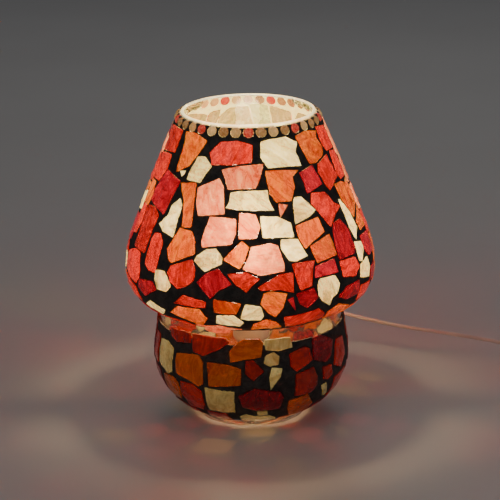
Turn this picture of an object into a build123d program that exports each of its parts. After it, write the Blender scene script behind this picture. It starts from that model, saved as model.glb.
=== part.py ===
from build123d import *
from math import asin, atan2, cos, degrees, hypot, pi, radians, sin, sqrt, tan
import os
import random

# Mosaic glass table lamp, in millimetres. A one-piece blown glass body carries glass chips
# and black grout on the outside. The origin is the centre of the foot, on the surface that
# the lamp stands on; +Z is up, the front is -Y and the cord leaves through the back, +Y.

# Glass body: a round base, a waist, and a bell-shaped shade that is open at the top
glass_wall = 2.2
foot_radius = 42.0
foot_width = 6.0
foot_height = 7.0
foot_recess = 1.5
base_radius = 73.2
base_belly_height = 50.0
base_curve = 46.0
waist_depth = 3.2
waist_height = 81.0
neck_length = 5.9
underside_fillet = 5.0
shade_radius = 93.0
shade_lower_curve = 26.0
shade_upper_curve = 78.0
flank_bow = 1.8
rim_height = 238.0
rim_radius = 50.3

# Mosaic skin
chip_thickness = 2.2
grout_thickness = 1.8
base_grout_top = 76.0
shade_grout_rise = 0.6
rim_margin = 1.2
bead_radius = 3.8
bead_count = 36
bead_drop = 4.7
bead_dome = 2.6
base_drawn_top = 81.0
shade_drawn_bottom = 86.9
shade_drawn_top = 238.0
cutter_reach = 9.0
back_seed = 7
chip_growth = 1.3
chip_gap = 0.9
chip_settle = 0.6
neighbour_reach = 50.0
chip_edge_margin = 0.8
course_wander = 2.0
nip_share = 0.6
split_share = 0.15

# Lampholder on its strip across the waist
strip_thickness = 1.5
strip_width = 18.0
strip_drop = 2.0
strip_turn_up = 8.0
pad_thickness = 3.0
pad_margin = 2.0
boss_radius = 20.0
holder_radius = 14.0
holder_wall = 1.6
skirt_above = 21.0
skirt_below = 8.0
collar_radius = 17.0
collar_height = 2.5
ring_height = 6.0
ring_radius = 18.5
ring_notches = 24
holder_cap_height = 22.0
core_height = 9.0
shell_wall = 0.4
terminal_size = 5.0
terminal_spread = 6.0
terminal_screw_radius = 1.5

# E14 candle bulb
cap_radius = 6.9
cap_length = 21.0
cap_insulator_height = 3.0
bulb_contact_radius = 2.4
bulb_contact_height = 1.6
bulb_radius = 17.5
bulb_height = 73.0
bulb_neck_radius = 6.6
bulb_wall = 0.8
running_gap = 0.3
contact_thickness = 0.5
bulb_profile = [(1.0, 14), (1.39, 30), (1.08, 50), (0.47, 66)]
stem_height = 18.0
stem_radii = (4.5, 1.6)
filament_count = 4
filament_length = 34.0
filament_radius = 0.7
filament_ring = 4.0
frame_radius = 5.0
frame_thickness = 0.8

# Cord, its grommet and its coil
cord_radius = 1.6
cord_hole_radius = 4.5
cord_hole_height = 66.0
grommet_flange = 3.0
grommet_lip = 1.6
coil_place = (227.0, -66.0)
coil_mid_radius = 19.2
coil_width = 12.8
coil_height = 8.8
tie_width = 6.0
tie_thickness = 0.8

# In-line rocker switch, which lies along Y
switch_place = (246.0, 16.0)
switch_length = 60.0
switch_width = 25.0
switch_height = 17.0
switch_wall = 1.8
switch_split = 9.0
switch_cord_height = 8.0
rocker_length = 21.0
rocker_width = 12.0
rocker_gap = 0.5
rocker_proud = 2.4
rocker_depth = 5.0
rocker_tilt = 8.0
pin_radius = 1.0
pin_running = 0.05
pin_seat = 3.0
switch_screw_radius = 1.4
switch_screw_spread = 22.0
switch_screw_aside = 7.0
screw_head_radius = 2.4
screw_head_height = 1.2
post_wall = 1.6
case_corner = 6.0
case_edge = 2.0
cheek_width = 8.0
cheek_overlap = 4.0
rocker_crest = 0.6
rocker_dip = 0.9
rocker_foot = 3.0
rocker_side = 1.5
block_size = 6.0
block_height = 2.7
block_spread = 13.0
leaf_thickness = 0.6

# Flat two-pin plug, which lies along Y with its pins towards +Y
plug_place = (279.0, -33.0)
plug_width = 35.0
plug_length = 36.0
plug_height = 13.7
plug_pin_radius = 2.0
plug_pin_length = 19.0
plug_pin_spacing = 18.6
relief_length = 22.0
relief_big_radius = 4.6
relief_small_radius = 2.6
plug_shoulder = (11.0, 9.0)
plug_corner = 3.0
plug_edge = 2.0
plug_pin_tip = 1.0

colours = ("red", "crimson", "orange", "cream", "pink")
nodes = {}

# Chips that face the front. Each has a colour and its corners, as degrees round from the
# front and millimetres above the foot on the drawn height.
shade_chips = [
    ("red", [(-80, 229), (-61, 229), (-61, 214), (-80, 211)]),
    ("orange", [(-54, 229), (-43, 229), (-33, 226), (-38, 218), (-42, 209), (-52, 202), (-51, 222)]),
    ("cream", [(-36, 214), (-31, 216), (-25, 210), (-29, 204), (-31, 199), (-41, 199), (-39, 205)]),
    ("red", [(-28, 219), (-20, 226), (-9, 227), (2, 225), (1, 214), (-11, 212), (-25, 211)]),
    ("cream", [(10, 227), (28, 228), (36, 224), (33, 218), (35, 209), (13, 210), (9, 217)]),
    ("orange", [(38, 228), (48, 229), (60, 227), (57, 223), (60, 217), (58, 212), (50, 209), (44, 209)]),
    ("red", [(64, 229), (78, 227), (78, 212), (66, 213), (64, 220)]),
    ("red", [(-80, 209), (-64, 211), (-64, 202), (-69, 192), (-80, 191)]),
    ("crimson", [(-61, 200), (-47, 196), (-53, 172), (-69, 177), (-68, 185)]),
    ("cream", [(-48, 203), (-44, 204), (-46, 200)]),
    ("orange", [(-45, 195), (-34, 197), (-32, 168), (-37, 167), (-39, 183)]),
    ("pink", [(-31, 194), (-24, 198), (-19, 201), (-16, 197), (-14, 179), (-20, 179), (-28, 177), (-30, 184)]),
    ("pink", [(-17, 208), (-8, 210), (9, 212), (6, 203), (3, 197), (-12, 196), (-14, 203)]),
    ("cream", [(-10, 193), (10, 194), (10, 188), (13, 181), (-4, 182), (-13, 183), (-11, 187)]),
    ("orange", [(11, 207), (32, 205), (27, 201), (27, 195), (24, 187), (16, 187), (13, 193)]),
    ("crimson", [(34, 203), (44, 206), (48, 193), (36, 190), (36, 198)]),
    ("red", [(51, 205), (62, 209), (66, 194), (54, 188), (52, 194), (50, 200)]),
    ("red", [(70, 210), (80, 208), (80, 191), (71, 191), (69, 195)]),
    ("orange", [(-80, 188), (-73, 188), (-72, 180), (-73, 173), (-80, 173)]),
    ("red", [(-80, 170), (-74, 170), (-74, 160), (-76, 151), (-80, 149)]),
    ("red", [(-70, 172), (-63, 173), (-57, 169), (-59, 160), (-60, 142), (-71, 143), (-71, 164)]),
    ("cream", [(-43, 184), (-41, 180), (-42, 168), (-42, 159), (-49, 161), (-53, 165), (-48, 171), (-47, 178)]),
    ("pink", [(-21, 175), (-8, 175), (-8, 166), (-10, 159), (-23, 156), (-24, 160), (-22, 169)]),
    ("pink", [(-5, 179), (3, 178), (5, 170), (3, 163), (-5, 163)]),
    ("cream", [(6, 177), (15, 175), (21, 171), (22, 162), (7, 163)]),
    ("pink", [(17, 184), (21, 183), (17, 177)]),
    ("cream", [(27, 187), (31, 187), (38, 177), (34, 174), (25, 171), (26, 182)]),
    ("red", [(39, 188), (48, 186), (53, 178), (58, 174), (51, 170), (46, 164), (41, 174), (37, 182)]),
    ("orange", [(61, 188), (68, 188), (74, 185), (75, 168), (69, 163), (63, 178)]),
    ("orange", [(76, 185), (80, 187), (80, 170), (77, 169)]),
    ("cream", [(59, 178), (60, 177), (65, 166), (67, 156), (63, 149), (61, 158)]),
    ("orange", [(25, 168), (38, 171), (40, 161), (31, 156), (28, 153), (26, 160)]),
    ("orange", [(31, 153), (43, 158), (44, 144), (33, 142)]),
    ("crimson", [(49, 164), (54, 165), (58, 156), (59, 144), (57, 140), (46, 140), (46, 150), (47, 158)]),
    ("red", [(46, 138), (57, 137), (59, 130), (55, 125), (47, 127)]),
    ("orange", [(71, 158), (80, 165), (80, 152), (72, 152)]),
    ("orange", [(-4, 160), (-1, 156), (-3, 148), (-5, 143), (-12, 148), (-8, 154)]),
    ("cream", [(-17, 154), (-14, 149), (-14, 145), (-21, 139), (-27, 145), (-26, 149), (-21, 153)]),
    ("orange", [(-38, 165), (-31, 164), (-29, 158), (-28, 150), (-39, 142), (-41, 144), (-43, 150)]),
    ("red", [(-55, 156), (-51, 157), (-48, 151), (-48, 141), (-49, 131), (-53, 131), (-56, 135), (-56, 150)]),
    ("cream", [(-48, 133), (-43, 134), (-41, 129), (-39, 125), (-41, 121), (-46, 121), (-48, 127)]),
    ("red", [(-39, 139), (-28, 146), (-26, 139), (-27, 132), (-31, 127), (-34, 125), (-38, 128), (-40, 134)]),
    ("crimson", [(-15, 141), (-9, 131), (-15, 127), (-18, 121), (-20, 125), (-24, 131), (-20, 137)]),
    ("red", [(-79, 134), (-70, 139), (-64, 139), (-62, 128), (-62, 123), (-65, 118), (-71, 119), (-79, 122)]),
    ("crimson", [(-60, 121), (-51, 123), (-48, 119), (-56, 112), (-61, 116)]),
    ("cream", [(16, 160), (24, 159), (27, 148), (22, 146), (19, 147), (16, 154)]),
    ("pink", [(1, 156), (10, 158), (13, 156), (15, 145), (15, 140), (5, 138), (-3, 142), (0, 150)]),
    ("red", [(-10, 138), (-2, 139), (4, 135), (0, 131), (-2, 127), (-6, 132)]),
    ("red", [(4, 129), (13, 136), (19, 137), (19, 124), (13, 127), (5, 127)]),
    ("red", [(20, 143), (31, 143), (29, 138), (28, 127), (23, 125), (22, 130), (21, 138)]),
    ("crimson", [(32, 139), (42, 141), (43, 132), (31, 132)]),
    ("cream", [(33, 129), (41, 129), (43, 123), (42, 118), (39, 115), (38, 110), (34, 114), (32, 119), (32, 126)]),
    ("cream", [(61, 146), (66, 144), (66, 138), (63, 133), (61, 134)]),
    ("cream", [(62, 129), (69, 131), (71, 123), (69, 118), (61, 121)]),
    ("crimson", [(69, 147), (80, 146), (80, 132), (73, 133), (69, 139)]),
    ("crimson", [(73, 121), (80, 123), (80, 113), (73, 114)]),
    ("red", [(-36, 113), (-31, 119), (-21, 117), (-21, 113), (-28, 113)]),
    ("orange", [(-35, 110), (-24, 111), (-21, 104), (-25, 97), (-33, 101), (-40, 104)]),
    ("orange", [(-16, 119), (-5, 117), (-7, 110), (-16, 110)]),
    ("cream", [(-2, 116), (4, 114), (5, 108), (4, 105), (-4, 106), (-3, 110)]),
    ("cream", [(-15, 107), (-8, 107), (-4, 102), (-6, 99), (-16, 101)]),
    ("orange", [(6, 124), (9, 125), (16, 123), (14, 114), (11, 107), (8, 111), (5, 117)]),
    ("crimson", [(21, 122), (29, 124), (31, 117), (26, 111), (23, 115)]),
    ("crimson", [(17, 118), (19, 119), (20, 111)]),
    ("red", [(16, 105), (32, 107), (36, 103), (37, 98), (19, 95)]),
    ("orange", [(40, 103), (45, 106), (54, 102), (48, 97), (40, 97)]),
    ("crimson", [(44, 113), (49, 118), (58, 119), (58, 110), (50, 110)]),
    ("orange", [(2, 100), (7, 103), (11, 101), (15, 96), (1, 95)]),
    ("cream", [(-59, 103), (-53, 107), (-45, 104), (-49, 100)]),
    ("red", [(-79, 117), (-66, 113), (-64, 104), (-79, 104)]),
    ("pink", [(-29, 95), (-16, 97), (-6, 94), (-14, 90), (-27, 90)]),
    ("red", [(61, 114), (71, 112), (72, 102), (61, 104)]),
    ("crimson", [(-79, 100), (-66, 100), (-55, 96), (-60, 91), (-79, 91)]),
    ("red", [(-50, 96), (-36, 97), (-33, 92), (-50, 91)]),
    ("orange", [(58, 98), (74, 99), (78, 92), (56, 91)]),
]
base_chips = [
    ("red", [(-56, 80), (-41, 81), (-39, 74), (-50, 72), (-56, 75)]),
    ("red", [(-37, 81), (-17, 81), (-14, 78), (-20, 73), (-29, 67), (-36, 68), (-37, 75)]),
    ("orange", [(-4, 81), (4, 81), (6, 78), (5, 68), (-4, 67), (-12, 64), (-12, 72), (-7, 78)]),
    ("cream", [(9, 80), (23, 80), (24, 73), (16, 72), (9, 73)]),
    ("cream", [(9, 68), (13, 70), (16, 67), (15, 62), (11, 61), (8, 63)]),
    ("red", [(-3, 64), (1, 64), (6, 57), (1, 51), (-3, 56)]),
    ("cream", [(12, 58), (17, 57), (16, 52), (11, 43), (11, 52)]),
    ("orange", [(-26, 61), (-14, 60), (-7, 58), (-7, 47), (-16, 46), (-25, 44)]),
    ("orange", [(-49, 62), (-40, 64), (-33, 65), (-30, 60), (-30, 45), (-33, 43), (-38, 46), (-49, 48)]),
    ("cream", [(-68, 66), (-60, 67), (-54, 64), (-54, 48), (-58, 45), (-68, 50)]),
    ("red", [(24, 67), (33, 70), (36, 68), (37, 60), (27, 55), (24, 59)]),
    ("crimson", [(40, 75), (47, 75), (57, 68), (53, 59), (48, 56), (40, 60)]),
    ("red", [(62, 66), (71, 65), (71, 54), (66, 45), (57, 50), (59, 58)]),
    ("red", [(27, 51), (38, 53), (40, 47), (41, 40), (38, 35), (27, 35)]),
    ("orange", [(24, 30), (36, 32), (44, 22), (44, 16), (30, 15), (25, 23)]),
    ("crimson", [(2, 43), (16, 39), (18, 35), (17, 25), (3, 25), (-5, 28), (-7, 37)]),
    ("cream", [(-28, 41), (-11, 40), (-12, 30), (-12, 22), (-20, 22), (-29, 22), (-28, 32)]),
    ("red", [(-46, 41), (-37, 41), (-32, 37), (-33, 26), (-36, 21), (-46, 21), (-48, 30)]),
    ("orange", [(-63, 41), (-54, 42), (-50, 39), (-51, 32), (-54, 25), (-64, 25), (-65, 34)]),
    ("cream", [(-8, 16), (-3, 19), (2, 16), (12, 16), (18, 12), (15, 8), (-6, 8)]),
    ("cream", [(4, 22), (9, 22), (10, 19), (5, 19)]),
    ("red", [(-32, 18), (-20, 18), (-17, 8), (-38, 8)]),
    ("red", [(46, 51), (53, 50), (54, 44), (51, 41), (48, 43)]),
    ("cream", [(47, 36), (51, 36), (56, 27), (53, 26)]),
    ("red", [(60, 38), (74, 40), (76, 24), (62, 22)]),
    ("crimson", [(-79, 44), (-70, 42), (-71, 24), (-79, 24)]),
    ("red", [(-66, 20), (-46, 17), (-44, 8), (-66, 8)]),
    ("orange", [(25, 12), (42, 13), (46, 8), (24, 8)]),
    ("crimson", [(50, 18), (74, 19), (72, 8), (50, 8)]),
    ("red", [(-79, 68), (-72, 68), (-72, 48), (-79, 50)]),
]

# The rest of the mosaic is laid in rough courses: lower edge, upper edge and chip width
shade_courses = [(90, 98, 20), (102, 116, 19), (120, 138, 22), (142, 158, 21), (162, 181, 20),
                 (185, 204, 22), (208, 227, 20)]
base_courses = [(8, 19, 20), (23, 39, 21), (43, 58, 19), (62, 75, 20)]

# The cord's route outside the lamp, from the middle of the wall to the switch, from the
# switch to the coil, and from the coil to the plug's strain relief
cord_to_switch = [
    (0, 71, 66), (1, 85, 65.5), (8, 97, 63), (22, 104, 59), (42, 103, 52.5), (64, 97, 45.5),
    (90, 92, 38.8), (120, 90, 32.2), (150, 89, 27.4), (178, 88, 22.9), (203, 86, 18.6),
    (226, 79, 13.5), (241, 66, 9.5), (246, 55, 8), (246, 46, 8),
]
cord_to_coil = [
    (246, -14, 8), (246, -22, 7), (246.5, -32.5, 3.8), (246.3, -43, 2), (246.2, -50, 1.8),
]
cord_to_plug = [
    (246.4, -80, 1.8), (247.2, -89, 1.8), (253, -96, 1.8), (263, -97.5, 1.8), (272.2, -93.2, 2.4),
    (278, -83.5, 4.2), (279, -70, 6.4), (279, -55, 6.85),
]
cord_inside = [
    (0, 71, 66), (0, 58, 65), (0, 47, 58), (0, 38, 46), (0, 26, 36), (0, 12, 32), (0, 3, 38),
    (0, 0, 46), (0, 0, 64),
]


def outline_spans():
    """Arcs of the glass's outer side, from the foot up: centre, radius, two angles, bulge."""
    waist_radius = base_radius - waist_depth
    base_centre = base_radius - base_curve
    rise = waist_height - base_belly_height
    waist_curve = (rise ** 2 / waist_depth - 2 * base_curve + waist_depth) / 2
    base_top = degrees(atan2(rise, waist_radius + waist_curve - base_centre))
    foot_angle = degrees(asin((foot_height - base_belly_height) / base_curve))
    neck_top = waist_height + neck_length
    reach = waist_radius + underside_fillet - (shade_radius - shade_lower_curve)
    drop = sqrt((shade_lower_curve + underside_fillet) ** 2 - reach ** 2)
    belly = neck_top + drop
    under = degrees(atan2(-drop, reach))
    upper_centre = shade_radius - shade_upper_curve
    lean = radians(20)
    for _ in range(30):
        start = (upper_centre + shade_upper_curve * cos(lean), belly + shade_upper_curve * sin(lean))
        lean = atan2(start[0] - rim_radius, rim_height - start[1]) - radians(flank_bow)
    chord = hypot(rim_radius - start[0], rim_height - start[1])
    flank_curve = chord / 2 / sin(radians(flank_bow))
    flank_centre = (start[0] - flank_curve * cos(lean), start[1] - flank_curve * sin(lean))
    lean = degrees(lean)
    return [
        (base_centre, base_belly_height, base_curve, foot_angle, base_top, 1),
        (waist_radius + waist_curve, waist_height, waist_curve, 180 + base_top, 180, -1),
        (waist_radius, waist_height, 0, neck_top, 0, 0),
        (waist_radius + underside_fillet, neck_top, underside_fillet, 180, 180 + under, -1),
        (shade_radius - shade_lower_curve, belly, shade_lower_curve, under, 0, 1),
        (upper_centre, belly, shade_upper_curve, 0, lean, 1),
        (flank_centre[0], flank_centre[1], flank_curve, lean, lean + 2 * flank_bow, 1),
    ]


spans = outline_spans()
waist_radius = base_radius - waist_depth
neck_top = waist_height + neck_length
strip_bottom = neck_top - strip_drop
holder_top = strip_bottom + skirt_above
cap_bottom = holder_top - cap_length
base_stretch = waist_height / base_drawn_top
shade_stretch = (rim_height - neck_top) / (shade_drawn_top - shade_drawn_bottom)


def on_span(span, angle, offset):
    centre_r, centre_z, radius, _, _, bulge = span
    out = radius + bulge * offset
    return (centre_r + out * cos(radians(angle)), 0, centre_z + out * sin(radians(angle)))


def outline(offset, first_angle=None):
    """The body's outline moved outwards by the offset, as edges in the XZ plane."""
    edges = []
    for number, span in enumerate(spans):
        centre_r, centre_z, _, start, end, bulge = span
        if bulge == 0:
            edges.append(Line((centre_r + offset, 0, centre_z), (centre_r + offset, 0, start)))
            continue
        if number == 0 and first_angle is not None:
            start = first_angle
        points = [on_span(span, angle, offset) for angle in (start, (start + end) / 2, end)]
        edges.append(ThreePointArc(*points))
    return edges


def surface_at(height):
    """Radius of the glass's outer side at a height, and the slope of its normal."""
    for centre_r, centre_z, radius, start, end, bulge in spans:
        if bulge == 0:
            low, high = centre_z, start
        else:
            low, high = (centre_z + radius * sin(radians(angle)) for angle in (start, end))
        if height > high:
            continue
        if bulge == 0:
            return centre_r, 0.0
        lift = asin(max(-1.0, min(1.0, (height - centre_z) / radius)))
        return centre_r + bulge * radius * cos(lift), bulge * lift
    return rim_radius, radians(spans[-1][4])


def turned(edges):
    return revolve(make_face(Curve() + edges), Axis.Z)


def skin(inner, outer, bottom, top):
    """A layer that follows the glass between two offsets and two heights."""
    near, far = outline(inner), outline(outer)
    ends = [Line(near[0] @ 0, far[0] @ 0), Line(near[-1] @ 1, far[-1] @ 1)]
    slab = Pos(0, 0, (bottom + top) / 2) * Cylinder(2 * shade_radius, top - bottom)
    return turned(near + far + ends) & slab


def spot(angle, height, offset=0.0):
    radius, slope = surface_at(height)
    radius += offset * cos(slope)
    turn = radians(angle)
    return Vector(radius * sin(turn), -radius * cos(turn), height + offset * sin(slope))


def facing(angle, height):
    """The plane that touches the glass at a spot, with its z axis pointing outwards."""
    slope = surface_at(height)[1]
    turn = radians(angle)
    out = (cos(slope) * sin(turn), -cos(slope) * cos(turn), sin(slope))
    return Plane(origin=spot(angle, height), x_dir=(cos(turn), sin(turn), 0), z_dir=out)


def chip_cutter(corners):
    """A prism through the skin, square to the glass at the chip's middle."""
    angle = sum(corner[0] for corner in corners) / len(corners)
    height = sum(corner[1] for corner in corners) / len(corners)
    plane = facing(angle, height)
    flat = [plane.to_local_coords(spot(*corner, chip_thickness / 2)) for corner in corners]
    face = make_face(Polyline(*[(point.X, point.Y) for point in flat], close=True))
    return plane * extrude(face, cutter_reach, both=True)


def stretched(chips, bottom, drawn_bottom, stretch):
    moved = []
    for colour, corners in chips:
        raised = [(angle, bottom + (height - drawn_bottom) * stretch) for angle, height in corners]
        moved.append((colour, raised))
    return moved


def run_gap(point, start, end):
    """Distance from a point to a straight run."""
    run = end - start
    share = (point - start).dot(run) / max(run.dot(run), 1e-9)
    return (point - start - run * max(0.0, min(1.0, share))).length


def edges_gap(one, other):
    """Smallest distance between two straight runs that don't cross."""
    ends = [run_gap(point, *other) for point in one] + [run_gap(point, *one) for point in other]
    return min(ends)


def grown(chips, low, high):
    """Chips whose corners are pushed out from their middles, as far as the neighbours leave room."""
    rings, middles = [], []
    for _, corners in chips:
        points = [spot(*corner) for corner in corners]
        rings.append(list(zip(points, points[1:] + points[:1])))
        middles.append(sum(points, Vector(0, 0, 0)) * (1 / len(points)))
    moved = []
    for number, (colour, corners) in enumerate(chips):
        near = [edge for other, ring in enumerate(rings) for edge in ring
                if other != number and (middles[other] - middles[number]).length < neighbour_reach]
        room = [min(edges_gap(edge, other) for other in near) for edge in rings[number]]
        middle_angle = sum(corner[0] for corner in corners) / len(corners)
        middle_height = sum(corner[1] for corner in corners) / len(corners)
        bigger = []
        for place, (angle, height) in enumerate(corners):
            push = min(chip_growth, (min(room[place - 1], room[place]) - chip_gap) / 2)
            across = radians(angle - middle_angle) * surface_at(height)[0]
            factor = 1 + max(0.0, push) / hypot(across, height - middle_height)
            new_height = middle_height + (height - middle_height) * factor - chip_settle
            new_angle = middle_angle + (angle - middle_angle) * factor
            bigger.append((new_angle, max(low, min(high, new_height))))
        moved.append((colour, bigger))
    return moved


def wave(angle, height):
    """How far a hand-laid course wanders from level."""
    turn = radians(angle)
    return course_wander * (sin(5 * turn + 0.05 * height) + 0.6 * sin(11 * turn + 0.03 * height))


def nipped(corners, dice):
    """The chip with one of its corners broken off, or with a side pulled in."""
    place = dice.randrange(len(corners))
    here, before = corners[place], corners[place - 1]
    after = corners[(place + 1) % len(corners)]
    near = tuple(own + (side - own) * dice.uniform(0.25, 0.5) for own, side in zip(here, before))
    far = tuple(own + (side - own) * dice.uniform(0.15, 0.35) for own, side in zip(here, after))
    return corners[:place] + [near, far] + corners[place + 1:]


def course_chips(courses, start, end, dice):
    """Irregular chips that fill the courses between two angles."""
    shades = ("red", "red", "crimson", "orange", "orange", "cream", "pink")
    chips = []
    last = ""
    for low, high, width in courses:
        around = radians(end - start) * surface_at((low + high) / 2)[0]
        count = max(1, round(around / width))
        pitch = (end - start) / count
        edges = [start + pitch * place for place in range(count + 1)]
        for place in range(1, count):
            edges[place] += dice.uniform(-0.24, 0.24) * pitch
        slants = [dice.uniform(-2.2, 2.2) for _ in edges]
        slants[0] = slants[-1] = 0.0
        for place in range(count):
            left, right = edges[place] + 1.1, edges[place + 1] - 1.1
            near, far = slants[place], slants[place + 1]
            colour = dice.choice([shade for shade in shades if shade != last])
            last = colour
            corners = [(left - near, low), (right - far, low), (right + far, high), (left + near, high)]
            corners = [(angle, height + dice.uniform(-0.7, 0.7)) for angle, height in corners]
            pieces = [corners]
            if dice.random() < split_share:
                pieces = halves(corners, dice.uniform(0.35, 0.65))
            for piece in pieces:
                piece = [(angle, height + wave(angle, height)) for angle, height in piece]
                if dice.random() < nip_share:
                    piece = nipped(piece, dice)
                chips.append((colour, piece))
                colour = dice.choice(shades)
    return chips


def halves(corners, share):
    """The chip broken across into an upper and a lower piece."""
    (left, low_left), (right, low_right), (right_top, high_right), (left_top, high_left) = corners
    middle_left = low_left + (high_left - low_left) * share
    middle_right = low_right + (high_right - low_right) * (share + 0.1)
    side_left = left + (left_top - left) * share
    side_right = right + (right_top - right) * (share + 0.1)
    half = chip_gap
    lower = [(left, low_left), (right, low_right), (side_right, middle_right - half),
             (side_left, middle_left - half)]
    upper = [(side_left, middle_left + half), (side_right, middle_right + half),
             (right_top, high_right), (left_top, high_left)]
    return [lower, upper]


def clear_of_hole(corners):
    """True where a chip keeps off the cord's hole and the flange of its grommet."""
    reach = cord_hole_radius + grommet_flange + 1
    span = degrees(reach / base_radius)
    angles = [corner[0] for corner in corners]
    heights = [corner[1] for corner in corners]
    beside = max(angles) < 180 - span or min(angles) > 180 + span
    return beside or max(heights) < cord_hole_height - reach or min(heights) > cord_hole_height + reach


def ring_pipe(outer, inner, bottom, top):
    height = top - bottom
    return Pos(0, 0, bottom + height / 2) * (Cylinder(outer, height) - Cylinder(inner, height))


def disc(radius, bottom, top):
    return Pos(0, 0, (bottom + top) / 2) * Cylinder(radius, top - bottom)


def make_glass():
    """Body wall with a thick floor, a ring foot, a rounded rim and the cord's hole."""
    outer, inner = outline(0), outline(-glass_wall, -90)
    foot_end = (foot_radius, 0, 0)
    foot_inside = (foot_radius - foot_width, 0, 0)
    recess_edge = (foot_radius - foot_width - foot_recess, 0, foot_recess)
    top_out, top_in = outer[-1] @ 1, inner[-1] @ 1
    crown = (top_out + top_in) * 0.5 + (outer[-1] % 1) * (glass_wall / 2)
    floor = inner[0] @ 0
    edges = outer + inner + [
        ThreePointArc(top_out, crown, top_in),
        Line(outer[0] @ 0, foot_end),
        Line(foot_end, foot_inside),
        Line(foot_inside, recess_edge),
        Line(recess_edge, (0, 0, foot_recess)),
        Line((0, 0, foot_recess), (0, 0, floor.Z)),
        Line((0, 0, floor.Z), floor),
    ]
    return turned(edges) - cord_hole(cord_hole_radius)


def cord_hole(radius):
    return Pos(0, base_radius, cord_hole_height) * Rot(90, 0, 0) * Cylinder(radius, base_radius)


def make_cavity():
    """The room inside the glass, which trims what bears on the wall."""
    inner = outline(-glass_wall, -90)
    top, floor = inner[-1] @ 1, inner[0] @ 0
    edges = inner + [
        Line(top, (0, 0, top.Z)),
        Line((0, 0, top.Z), (0, 0, floor.Z)),
        Line((0, 0, floor.Z), floor),
    ]
    return turned(edges)


def make_bead(number):
    """A round glass dot with a domed face, which beds in the grout under the rim."""
    plane = facing(number * 360 / bead_count, rim_height - bead_drop)
    body = Cylinder(bead_radius, 2 * cutter_reach)
    dome_radius = (bead_radius ** 2 + bead_dome ** 2) / (2 * bead_dome)
    dome = Pos(0, 0, bead_dome - dome_radius + 0.6) * Sphere(dome_radius)
    return plane * (body & dome), plane * body


def make_mosaic():
    """Chips and dots by colour, and the grout of the two zones with their pockets."""
    dice = random.Random(back_seed)
    back_shade = course_chips(shade_courses, 82, 278, dice)
    back_base = course_chips(base_courses, 82, 278, dice)
    zones = {
        "shade": (stretched(shade_chips + back_shade, neck_top, shade_drawn_bottom, shade_stretch),
                  neck_top + shade_grout_rise, rim_height - rim_margin),
        "base": (stretched(base_chips + back_base, 0, 0, base_stretch),
                 foot_height, base_grout_top * base_stretch),
    }
    found = {}
    for zone, (chips, bottom, top) in zones.items():
        chip_skin = skin(0, chip_thickness, foot_height, rim_height)
        highest = max(corner[1] for chip in chips for corner in chip[1])
        chips = grown(chips, bottom + chip_edge_margin, highest)
        chips = [chip for chip in chips if zone == "shade" or clear_of_hole(chip[1])]
        cutters = [(colour, chip_cutter(corners)) for colour, corners in chips]
        for colour in colours:
            solids = [chip_skin & cutter for shade, cutter in cutters if shade == colour]
            found[f"{zone}_chips_{colour}"] = [solid for part in solids for solid in part.solids()]
        tools = [cutter for _, cutter in cutters]
        if zone == "shade":
            beads = [make_bead(number) for number in range(bead_count)]
            glass = skin(0, chip_thickness * 4, rim_height - 3 * bead_radius, rim_height + bead_radius)
            kept = [(glass & bead).solids()[0] for bead, _ in beads]
            found["rim_beads_amber"] = [bead for place, bead in enumerate(kept) if place % 4]
            found["rim_beads_red"] = [bead for place, bead in enumerate(kept) if place % 4 == 0]
            tools += [cutter for _, cutter in beads]
        else:
            tools.append(cord_hole(cord_hole_radius))
        found[f"{zone}_grout"] = (skin(0, grout_thickness, bottom, top) - tools).solids()
    return found


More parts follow.
